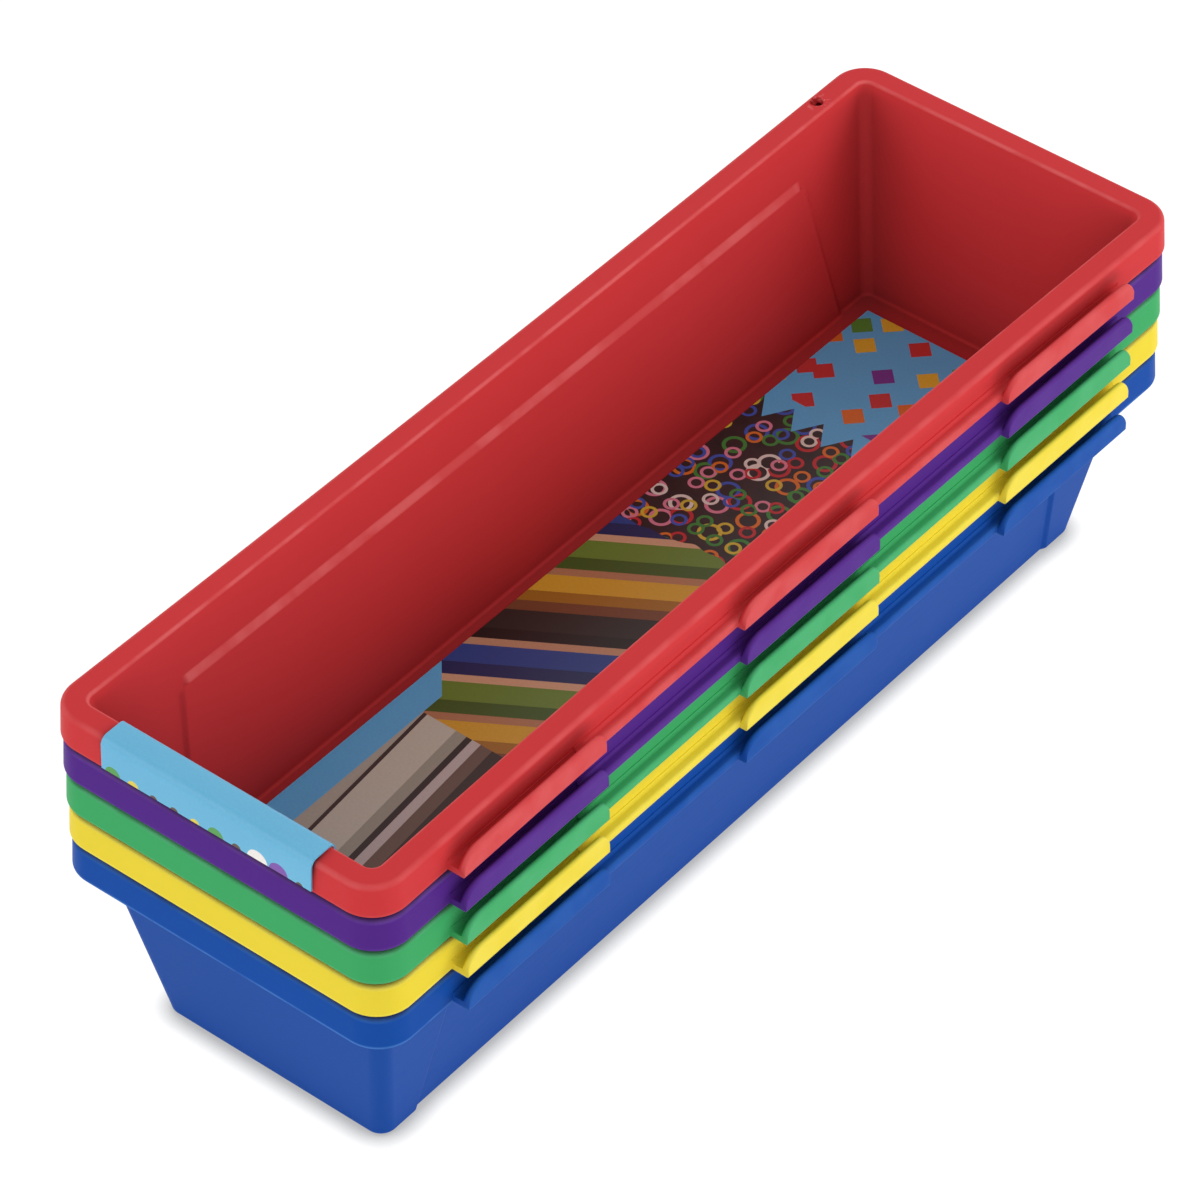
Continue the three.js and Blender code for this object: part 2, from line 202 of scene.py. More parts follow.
def tray_section(foot_rub_and_highlight):
    """Section of the shell from the underside out, up, over the rim and down inside: inset from the
    rim's edge, height, corner radius, how far the side panel steps in, and the marks of its points."""
    rows = []

    def row(inset, z, radius, step=0.0, wear_and_highlight=0.0, rim_gap_shade=0.0, inner=0.0):
        rows.append((inset, z, radius, step, wear_and_highlight, rim_gap_shade, inner))

    def rim(inset, z, wear_and_highlight=0.0, rim_gap_shade=0.0):
        row(inset - skirt_lean(z), z, RIM_CORNER - inset + skirt_lean(z), 0.0, wear_and_highlight, rim_gap_shade)

    corner_levels = [PANEL_LOW - PANEL_CORNER * math.sin(math.radians(a)) ** 2
                     for a in range(75, 0, -15)]
    # Outside: the rounded foot, the panel, and its shoulder, a little lower than the one inside
    foot = outer_inset(FOOT_RADIUS)
    for i, (a, b) in enumerate(arc(foot + FOOT_RADIUS, FOOT_RADIUS, FOOT_RADIUS, 270, 180, 6)):
        row(a, b, outer_corner(FOOT_RADIUS) - (a - foot), PANEL_STEP, crest(i, 6, FOOT_WEAR_AND_HIGHLIGHT))
    for z in [PANEL_LOW - PANEL_CORNER] + corner_levels:
        z -= OUTER_DROP
        row(outer_inset(z), z, outer_corner(z), PANEL_STEP)
    for i in range(7):
        z = PANEL_LOW - OUTER_DROP + PANEL_SHOULDER * i / 6
        step = PANEL_STEP * (1 - ease(i / 6))
        row(outer_inset(z), z, outer_corner(z), step, crest(i, 6, SHOULDER_WEAR_AND_HIGHLIGHT))
    # Underside of the rim, down the inner face of the skirt and round its foot
    level = HEIGHT - FLANGE - UNDER_FILLET
    wall = outer_inset(level)
    for a, b in arc(wall - UNDER_FILLET, level, UNDER_FILLET, 0, 90, 3):
        row(a, b, outer_corner(b) + wall - a)
    for a, b in arc(SKIRT + UNDER_FILLET, level, UNDER_FILLET, 90, 180, 3):
        rim(a, b)
    for a, b in arc(SKIRT - SKIRT_EDGE, SKIRT_FOOT + SKIRT_EDGE, SKIRT_EDGE, 0, -90, 3):
        rim(a, b)
    for i, (a, b) in enumerate(arc(SKIRT_EDGE, SKIRT_FOOT + SKIRT_EDGE, SKIRT_EDGE, 270, 180, 4)):
        rim(a, b, foot_rub_and_highlight * min(1.0, 0.4 + 0.3 * i))
    # Outer face of the skirt, and the rim
    for above, share in RUB_AND_HIGHLIGHT_FADES:
        rim(0.0, SKIRT_FOOT + above, foot_rub_and_highlight * share)
    for below, share in EDGE_FADES:
        rim(0.0, HEIGHT - below, 0.0, share)
    for i, (a, b) in enumerate(arc(RIM_EDGE, HEIGHT - RIM_EDGE, RIM_EDGE, 180, 90, 8)):
        rim(a, b, crest(i, 8, RIM_WEAR_AND_HIGHLIGHT), 1.0)
    lip = inner_inset(HEIGHT - RIM_INNER)
    for i, (a, b) in enumerate(arc(lip - RIM_INNER, HEIGHT - RIM_INNER, RIM_INNER, 90, 0, 6)):
        row(a, b, inner_corner(b) + lip - a, 0.0, crest(i, 6, LIP_WEAR_AND_HIGHLIGHT))
    # Inside: the wall, marked for painted shade from 3 mm below the rim, the panel's shoulder, the
    # panel down to 3 mm above the floor, and the fillet at the floor, with the most painted shade
    below_rim, above_floor = HEIGHT - 3, FLOOR + 3
    row(inner_inset(below_rim), below_rim, inner_corner(below_rim), inner=1.0)
    for i in range(9):
        z = lerp(PANEL_TOP + SHOULDER_SPREAD, PANEL_LOW, i / 8)
        wear_and_highlight = min(crest(i, 8, STEP_WEAR_AND_HIGHLIGHT), STEP_LEVEL)
        row(inner_inset(z), z, inner_corner(z), PANEL_STEP * ease(i / 8), wear_and_highlight, inner=1.0)
    for z in list(reversed(corner_levels)) + [PANEL_LOW - PANEL_CORNER, above_floor]:
        row(inner_inset(z), z, inner_corner(z), PANEL_STEP, inner=1.0)
    fillet = inner_inset(FLOOR + FLOOR_FILLET)
    for a, b in arc(fillet + FLOOR_FILLET, FLOOR + FLOOR_FILLET, FLOOR_FILLET, 180, 270, 5):
        row(a, b, inner_corner(b) - (a - fillet), PANEL_STEP, inner=CREASE)
    return rows


def skin(mesh, rings):
    """Skins rings of equal length into a closed body with flat ends.
    Each point is x, y and z, and then its marks."""
    layers = [mesh.verts.layers.float[mark] for mark in MARKS]
    made = []
    for ring in rings:
        made.append([mesh.verts.new(Vector(p[:3]) * MM) for p in ring])
        for vert, p in zip(made[-1], ring):
            for layer, share in zip(layers, p[3:]):
                vert[layer] = share
    count = len(rings[0])
    for low, high in zip(made, made[1:]):
        for i in range(count):
            j = (i + 1) % count
            mesh.faces.new((low[i], low[j], high[j], high[i]))
    mesh.faces.new(list(reversed(made[0])))
    mesh.faces.new(made[-1])


def hook_lip(along, end_radius):
    """Height of a hook's lip at a distance along it: a curve up at its start, a round at its end."""
    rise = LIP_HEIGHT - HOOK_FLOOR
    near = min(along / HOOK_RAMP, 1.0)
    far = min((HOOK_LENGTH - along) / end_radius, 1.0)
    up = math.sqrt(1 - (1 - near) ** 2) * rise
    down = rise - min(end_radius, rise) * (1 - math.sqrt(1 - (1 - far) ** 2))
    return HOOK_FLOOR + min(up, down)


def hook_section(lip):
    """A trough whose outer wall is the lip, with soft edges and a fillet against the skirt."""
    lip = max(lip, HOOK_FLOOR + LEAST_LIP)
    inside, face, half = -SKIRT / 2, HOOK_REACH - LIP, LIP / 2
    crown = min(half, (lip - HOOK_FLOOR) * CROWN_SHARE)
    points = [(inside, 0.0)] + arc(HOOK_REACH - HOOK_EDGE, HOOK_EDGE, HOOK_EDGE, 270, 360, 5)
    points += [(face + half + half * math.cos(a), lip - crown + crown * math.sin(a))
               for a in [math.pi * i / 8 for i in range(9)]]
    trough = min(HOOK_FILLET, crown)
    points += arc(face - trough, HOOK_FLOOR + trough, trough, 360, 270, 4)
    points += arc(HOOK_FILLET, HOOK_FLOOR + HOOK_FILLET, HOOK_FILLET, 270, 180, 4)
    points.append((inside, HOOK_FLOOR + HOOK_FILLET))
    return points


def along_skirt(mesh, stations, section_at, bow, rub_and_highlight):
    """A profile that follows the skirt's foot, paler on its lower edge, outer face and top, from
    rubbing and painted highlight.
    """
    wear_and_highlight = [0.0] + [max(crest(i, 5, HOOK_WEAR_AND_HIGHLIGHT), rub_and_highlight) for i in range(6)] + [rub_and_highlight] * 5
    rings = []
    for y in stations:
        skirt = WIDTH / 2 + skirt_lean(SKIRT_FOOT) - bow_at(bow, 1, y, SKIRT_FOOT)
        section = list(enumerate(section_at(y)))
        rings.append([(skirt + x, y, SKIRT_FOOT + z, wear_and_highlight[i] if i < len(wear_and_highlight) else 0.0)
                      for i, (x, z) in reversed(section)])
    skin(mesh, rings)


def add_hook(mesh, number, bow, rub_and_highlight):
    start = (number - (HOOKS - 1) / 2) * HOOK_PITCH + HOOK_SHIFT - HOOK_LENGTH / 2
    end_radius = HOOK_LAST_END if number == HOOKS - 1 else HOOK_END
    near = [HOOK_RAMP * (1 - math.cos(math.radians(a))) for a in range(4, 91, 6)]
    far = [HOOK_LENGTH - end_radius * (1 - math.cos(math.radians(a))) for a in range(90, -1, -9)]
    middle = [lerp(HOOK_RAMP, HOOK_LENGTH - end_radius, i / 8) for i in range(1, 8)]
    stations = [0.0] + near + middle + far
    along_skirt(mesh, [start + s for s in stations],
                lambda y: hook_section(hook_lip(y - start, end_radius)), bow, rub_and_highlight)


def add_ledge(mesh, bow, rub_and_highlight):
    reach = (HOOKS - 1) / 2 * HOOK_PITCH - HOOK_LENGTH / 2 + HOOK_RAMP
    inside = -SKIRT / 2
    points = [(inside, 0.0)] + arc(LEDGE_REACH - LEDGE_EDGE, LEDGE_EDGE, LEDGE_EDGE, 270, 360, 5)
    points += arc(LEDGE_REACH - LEDGE_CROWN, LEDGE - LEDGE_CROWN, LEDGE_CROWN, 0, 90, 4)
    points += arc(LEDGE_CROWN, LEDGE + LEDGE_CROWN, LEDGE_CROWN, 270, 180, 4)
    points.append((inside, LEDGE + LEDGE_CROWN))
    stations = [lerp(-reach, reach, i / LEDGE_STEPS) + HOOK_SHIFT for i in range(LEDGE_STEPS + 1)]
    along_skirt(mesh, stations, lambda y: points, bow, rub_and_highlight)


def make_object(name, mesh, level=0):
    """Turns the built faces into a smooth-shaded object, lifted to its level in the nest."""
    bmesh.ops.recalc_face_normals(mesh, faces=mesh.faces)
    data = bpy.data.meshes.new(name)
    mesh.to_mesh(data)
    mesh.free()
    data.shade_smooth()
    data.set_sharp_from_angle(angle=math.radians(SHARP_ANGLE))
    data.transform(Matrix.Translation((0, 0, level * STACK_STEP * MM)))
    piece = bpy.data.objects.new(name, data)
    bpy.context.scene.collection.objects.link(piece)
    return piece


def cut_tag_hole(mesh):
    """Drills the tag hole down through the rim, near the left-hand corner of the far end."""
    shell = make_object("shell", mesh)
    tool = bmesh.new()
    radius, depth = TAG_HOLE / 2 * MM, (FLANGE + 2 * DRILL_PAST) * MM
    bmesh.ops.create_cone(tool, cap_ends=True, segments=32, radius1=radius, radius2=radius, depth=depth)
    place = Vector((TAG_INSET - WIDTH / 2, LENGTH / 2 - TAG_FROM_END, HEIGHT - FLANGE / 2))
    bmesh.ops.translate(tool, vec=place * MM, verts=tool.verts)
    drill = make_object("drill", tool)
    cut = shell.modifiers.new("tag_hole", "BOOLEAN")
    cut.operation, cut.solver, cut.object = "DIFFERENCE", "EXACT", drill
    bpy.context.view_layer.update()
    drilled = bmesh.new()
    drilled.from_object(shell, bpy.context.evaluated_depsgraph_get())
    for piece in (shell, drill):
        bpy.data.objects.remove(piece)
    return drilled


def make_tray(level):
    colour, _, _, bow, foot_rub_and_highlight, hook_rub_and_highlight = TRAYS[level]
    mesh = bmesh.new()
    for mark in MARKS:
        mesh.verts.layers.float.new(mark)
    skin(mesh, [tray_ring(*row, bow) for row in tray_section(foot_rub_and_highlight)])
    mesh = cut_tag_hole(mesh)
    for number in range(HOOKS):
        add_hook(mesh, number, bow, hook_rub_and_highlight)
    add_ledge(mesh, bow, hook_rub_and_highlight)
    piece = make_object(colour + "_tray_moulding", mesh, level)
    weighted = piece.modifiers.new("even_faces", "WEIGHTED_NORMAL")
    weighted.keep_sharp = True
    return piece


# Shape of the card

def rounded_path(corners, radii):
    """A line through the corners, with an arc of the given radius at each one but its ends."""
    points = [Vector(c) for c in corners]
    result = [points[0]]
    for i, radius in enumerate(radii, 1):
        back = (points[i - 1] - points[i]).normalized()
        on = (points[i + 1] - points[i]).normalized()
        half = back.angle(on) / 2
        centre = points[i] + (back + on).normalized() * radius / math.sin(half)
        first = points[i] + back * radius / math.tan(half) - centre
        last = points[i] + on * radius / math.tan(half) - centre
        turn = math.atan2(first.x * last.y - first.y * last.x, first.dot(last))
        for k in range(BEND_STEPS + 1):
            spun = first.copy()
            spun.rotate(Matrix.Rotation(turn * k / BEND_STEPS, 2))
            result.append(centre + spun)
    result.append(points[-1])
    return result


def card_sides(y, z):
    """Left and right edge of the card: the left draws in down the near wall, then along the floor."""
    if y < -LENGTH / 2 + RIM_WIDTH / 2:
        return -CARD_HALF, CARD_HALF
    down = min(max((HEIGHT - z) / (HEIGHT - FLOOR), 0.0), 1.0)
    along = min(max(y / LENGTH + 0.5, 0.0), 1.0)
    return -CARD_HALF + down * (CARD_WALL_TAPER + CARD_FLOOR_TAPER * along), CARD_HALF


def make_card():
    """Bent card strip: printed to its long edges, and plain board on its back and ends."""
    off = CARD_GAP + CARD / 2
    floor = FLOOR + off

    def wall_at(z):
        return -LENGTH / 2 + inner_inset(z) + off / math.cos(DRAFT)

    top = HEIGHT + off
    far = LENGTH / 2 - inner_inset(floor) - CARD_FAR
    skirt = -LENGTH / 2 - off
    corners = [(far, floor), (wall_at(floor), floor), (wall_at(top), top),
               (skirt, top), (skirt - skirt_lean(FLAP_END), FLAP_END)]
    path = rounded_path(corners, [CARD_BEND, RIM_INNER + off, RIM_EDGE + off])
    path = [path[0].lerp(path[1], i / CARD_STEPS) for i in range(CARD_STEPS)] + path[1:]
    travel = [0.0]
    for a, b in zip(path, path[1:]):
        travel.append(travel[-1] + (b - a).length)
    mesh = bmesh.new()
    sheet = mesh.loops.layers.uv.new("card_mm")
    across = [i / CARD_STRIPS for i in range(CARD_STRIPS + 1)]
    print_place, faces = {}, []
    for outward in (1, -1):
        rows = []
        for i, p in enumerate(path):
            before, after = path[max(i - 1, 0)], path[min(i + 1, len(path) - 1)]
            along = ((p - before).normalized() + (after - p).normalized()).normalized()
            q = p + Vector((along.y, -along.x)) * outward * CARD / 2
            left, right = card_sides(*p)
            places = [lerp(left, right, t) for t in across]
            rows.append([mesh.verts.new(Vector((x, q.x, q.y)) * MM) for x in places])
            print_place.update((vert, (x, travel[i])) for vert, x in zip(rows[-1], places))
        faces.append(rows)
    front, back = faces
    for rows, plain in ((front, 0), (back, 1)):
        for low, high in zip(rows, rows[1:]):
            for k in range(CARD_STRIPS):
                mesh.faces.new((low[k], low[k + 1], high[k + 1], high[k])).material_index = plain
    for i in range(len(path) - 1):
        for k in (0, CARD_STRIPS):
            mesh.faces.new((front[i][k], front[i + 1][k], back[i + 1][k], back[i][k]))
    for i in (0, len(path) - 1):
        for k in range(CARD_STRIPS):
            end = mesh.faces.new((front[i][k], front[i][k + 1], back[i][k + 1], back[i][k]))
            end.material_index = 1
    for face in mesh.faces:
        for loop in face.loops:
            loop[sheet].uv = print_place[loop.vert]
    return make_object("printed_card", mesh, len(TRAYS) - 1), travel[-1]


# Materials

def add(tree, kind, inputs=None, stops=(), **settings):
    """Adds a node with its settings and the stops of its ramp, and sets or links its inputs."""
    made = tree.nodes.new(kind)
    for name, value in settings.items():
        setattr(made, name, value)
    for i, (place, colour) in enumerate(stops):
        ramp = made.color_ramp
        ramp.interpolation = "CONSTANT"
        stop = ramp.elements[i] if i < 2 else ramp.elements.new(place)
        stop.position, stop.color = place, linear(colour)
    for key, value in (inputs or {}).items():
        if isinstance(value, bpy.types.NodeSocket):
            tree.links.new(value, made.inputs[key])
        else:
            made.inputs[key].default_value = value
    return made


def new_material(name):
    material = bpy.data.materials.new(name)
    material.use_nodes = True
    material.node_tree.nodes.clear()
    return material, material.node_tree


# Sizes of the plastic's marks, in millimetres: flow marks, patches of the paler edges, specks of a
# scuff, grain of the mould, and rubs along the tray; then how far the painted shade in a crease and
# under a rim reaches
FLOW_MARK, RUB_AND_HIGHLIGHT_PATCH, SPECK, GRAIN, RUB_LINE = 40.0, 8.0, 0.8, 0.7, 0.5
CREASE_REACH, GAP_REACH = 18.0, 4.0
# Tint that the painted shade darkens the colour towards
PAINTED_SHADE_TINT = "#2B2424"
# How far from the middle of the tag hole the scuffs are full and where they end, in millimetres, how
# much darker the flow marks are, and how much the rubs are stretched along the tray
SCUFF_FULL, SCUFF_END, FLOW_SHADE, RUB_STRETCH = 1.3, 3.4, 0.93, 0.06


def moulded_polypropylene(name, hex_colour, pale_hex, level):
    """Injection-moulded polypropylene: a satin skin with a fine spark-eroded grain, pale
    where rubbing marks its edges and where a highlight is painted on them, darkened by painted shade in
    its creases and in the gap under the tray above, with faint cloudy flow marks and rubs along its
    length."""
    material, tree = new_material(name)
    place = add(tree, "ShaderNodeTexCoord").outputs["Object"]
    deep, pale = linear(hex_colour), linear(pale_hex)
    # Cloudy flow marks, a little darker than the rest
    flow = tuple(v * FLOW_SHADE for v in deep[:3]) + (1.0,)
    cloud = add(tree, "ShaderNodeTexNoise", {
        "Vector": place, "Scale": 1 / (FLOW_MARK * MM), "Detail": 3.0})
    body = add(tree, "ShaderNodeMix", {0: cloud.outputs["Fac"], 6: flow, 7: deep}, data_type="RGBA")
    # Edges paler where rubbing marks them and where a highlight is painted on them, broken up into
    # patches
    worn_and_highlit = add(tree, "ShaderNodeAttribute", attribute_name="worn_edge_and_highlight").outputs["Fac"]
    spots = add(tree, "ShaderNodeTexNoise", {
        "Vector": place, "Scale": 1 / (RUB_AND_HIGHLIGHT_PATCH * MM), "Detail": 2.0})
    patchy = add(tree, "ShaderNodeMapRange", {
        "Value": spots.outputs["Fac"], "From Min": 0.35, "From Max": 0.6, "To Min": 0.4})
    rubbed_and_highlit = add(tree, "ShaderNodeMath", {0: worn_and_highlit, 1: patchy.outputs["Result"]}, operation="MULTIPLY")
    # Scuffs that a tag's string leaves around its hole
    hole = Vector((TAG_INSET - WIDTH / 2, LENGTH / 2 - TAG_FROM_END, HEIGHT + level * STACK_STEP)) * MM
    away = add(tree, "ShaderNodeVectorMath", {0: place, 1: hole}, operation="DISTANCE")
    specks = add(tree, "ShaderNodeTexNoise", {
        "Vector": place, "Scale": 1 / (SPECK * MM), "Detail": 2.0})
    round_hole = add(tree, "ShaderNodeMapRange", {
        "Value": away.outputs["Value"], "From Min": SCUFF_FULL * MM, "From Max": SCUFF_END * MM,
        "To Min": 1.0, "To Max": 0.0})
    broken = add(tree, "ShaderNodeMapRange", {
        "Value": specks.outputs["Fac"], "From Min": 0.52, "From Max": 0.62})
    scuff = add(tree, "ShaderNodeMath", {0: round_hole.outputs["Result"], 1: broken.outputs["Result"]},
                operation="MULTIPLY")
    # Colour paler at the edges, from rubbing and painted highlight, and at the scuffs
    lighter = add(tree, "ShaderNodeMath", {0: rubbed_and_highlit.outputs[0], 1: scuff.outputs[0]},
                  operation="MAXIMUM")
    scuffed_and_highlit = add(tree, "ShaderNodeMix", {
        0: lighter.outputs[0], 6: body.outputs[2], 7: pale}, data_type="RGBA")
    # Painted shade in nooks, darkened towards a dark tint by how closed in they are: the creases
    # inside, and the rim's edge where the tray above leaves only a narrow gap. Each has its mark, how
    # closed in it is where the painted shade is full and where it ends, and how much of the unshaded
    # colour is lost there.
    own = add(tree, "ShaderNodeAmbientOcclusion", {"Distance": CREASE_REACH * MM}, samples=6,
              only_local=True)
    near = add(tree, "ShaderNodeAmbientOcclusion", {"Distance": GAP_REACH * MM}, samples=6)
    nooks = ((own, "inner_shade", 0.3, 0.95, 0.48), (near, "rim_gap_shade", 0.5, 1.0, 0.85))
    unshaded = 1.0
    for nook, mark, start, end, most in nooks:
        dark = add(tree, "ShaderNodeMapRange", {
            "Value": nook.outputs["AO"], "From Min": start, "From Max": end,
            "To Min": most, "To Max": 0.0})
        share = add(tree, "ShaderNodeAttribute", attribute_name=mark).outputs["Fac"]
        lost = add(tree, "ShaderNodeMath", {0: dark.outputs["Result"], 1: share}, operation="MULTIPLY")
        left = add(tree, "ShaderNodeMath", {0: 1.0, 1: lost.outputs[0]}, operation="SUBTRACT")
        unshaded = add(tree, "ShaderNodeMath", {0: unshaded, 1: left.outputs[0]},
                    operation="MULTIPLY").outputs[0]
    colour = add(tree, "ShaderNodeMix", {
        0: unshaded, 6: linear(PAINTED_SHADE_TINT), 7: scuffed_and_highlit.outputs[2]}, data_type="RGBA")
    # Grain of the mould, really about 0.1 mm and drawn coarse so that it shows, and fine long rubs. The
    # grain scatters the gloss, so the specular level is low.
    grain = add(tree, "ShaderNodeTexNoise", {
        "Vector": place, "Scale": 1 / (GRAIN * MM), "Detail": 2.0})
    stretch = add(tree, "ShaderNodeMapping", {"Vector": place, "Scale": (1.0, RUB_STRETCH, 1.0)})
    rubs = add(tree, "ShaderNodeTexNoise", {
        "Vector": stretch.outputs["Vector"], "Scale": 1 / (RUB_LINE * MM), "Detail": 4.0})
    rough = add(tree, "ShaderNodeMapRange", {
        "Value": rubs.outputs["Fac"], "To Min": 0.34, "To Max": 0.5})
    bump = add(tree, "ShaderNodeBump", {
        "Height": grain.outputs["Fac"], "Strength": 0.05, "Distance": 0.2 * MM})
    shader = add(tree, "ShaderNodeBsdfPrincipled", {
        "Base Color": colour.outputs[2], "Roughness": rough.outputs["Result"],
        "Normal": bump.outputs["Normal"], "IOR": 1.49, "Specular IOR Level": 0.03})
    add(tree, "ShaderNodeOutputMaterial", {"Surface": shader.outputs["BSDF"]})
    return material


# Places in the card's print, in millimetres from its far end: end of the diamonds, start of the dark
# field, the bands and the stripes, the widening of the margin, and the wall that the card climbs
DIAMONDS_END, FIELD_START, BANDS_START, STRIPES_START = 34.0, 36.0, 92.0, 158.0
MARGIN_START, MARGIN_FULL, WALL_START, WALL_BEND, WALL_TOP = 140.0, 152.0, 200.0, 214.0, 240.0
# Edge of the margin from the middle of the card, the spacing of the diamonds, the width of the teeth
# and how steep they are, the spacing and sizes of the half discs, and how far past the flap they centre
MARGIN_EDGE, DIAMOND_SPACING, TOOTH_WIDTH, TOOTH_SLOPE = -17.5, 9.5, 8.0, 1.6
DISC_SPACING, DISC_SMALL, DISC_LARGE, DISC_BELOW = 5.3, 0.9, 2.8, 0.3
# Share of its cell that a diamond fills, and spacing, radius and line width of the rings
DIAMOND_SHARE = 0.34
RINGS = ((7.0, 2.3, 0.42), (5.2, 1.5, 0.36))
# Length and height of the waves in the edge where the bands start, cycle and slant of the bands, and
# where the first and the last stripe lie across the card, and how much the stripes slant
SHORE_LENGTH, SHORE_HEIGHT, BAND_CYCLE, BAND_SLANT = 18.0, 14.0, 46.0, math.radians(58)
STRIPES_LEFT, STRIPES_RIGHT, STRIPES_SLANT = -36.0, 12.0, -0.09
# Sizes in the board, in millimetres: cloudiness of the ground and of the dark field, mottle of the ink,
# and paper fibres
BOARD_CLOUD, FIELD_CLOUD, INK_MOTTLE, FIBRE = 25.0, 6.0, 0.6, 0.5


def broad_bands(tree, sheet):
    """Slanting bands of mixed widths, each with a lit and a shaded half."""
    turned = add(tree, "ShaderNodeMapping", {
        "Vector": sheet, "Rotation": (0, 0, BAND_SLANT), "Scale": (BAND_CYCLE, BAND_CYCLE, 1)},
        vector_type="TEXTURE")
    across = add(tree, "ShaderNodeSeparateXYZ", {0: turned.outputs["Vector"]})
    cycle = add(tree, "ShaderNodeMath", {0: across.outputs["X"]}, operation="FRACT")
    return add(tree, "ShaderNodeValToRGB", {0: cycle.outputs[0]}, stops=(
        (0.0, "#2A241F"), (0.13, "#17130F"), (0.20, "#C79A78"), (0.25, "#2B4A94"), (0.37, "#1B2C5E"),
        (0.45, "#D9B08C"), (0.50, "#6E8F35"), (0.62, "#43611F"), (0.70, "#B9855F"), (0.75, "#DDAE33"),
        (0.86, "#A8741F"), (0.93, "#7A4A2C")))


def loose_rings(tree, sheet, spacing, radius, line):
    """Scattered rings of a given size in millimetres: their colours and their mask."""
    cells = add(tree, "ShaderNodeTexVoronoi", {
        "Vector": sheet, "Scale": 1 / spacing, "Randomness": 0.8}, voronoi_dimensions="2D")
    pick = add(tree, "ShaderNodeSeparateColor", {0: cells.outputs["Color"]})
    tint = add(tree, "ShaderNodeValToRGB", {0: pick.outputs[0]}, stops=(
        (0.0, "#C62F36"), (0.18, "#D9C23C"), (0.36, "#3F8F3C"), (0.52, "#3C5EC0"), (0.68, "#E28BA4"),
        (0.80, "#E9E4DA"), (0.90, "#E07B28")))
    mask = add(tree, "ShaderNodeMath", {
        0: cells.outputs["Distance"], 1: radius / spacing, 2: line / spacing}, operation="COMPARE")
    return tint.outputs[0], mask.outputs[0]


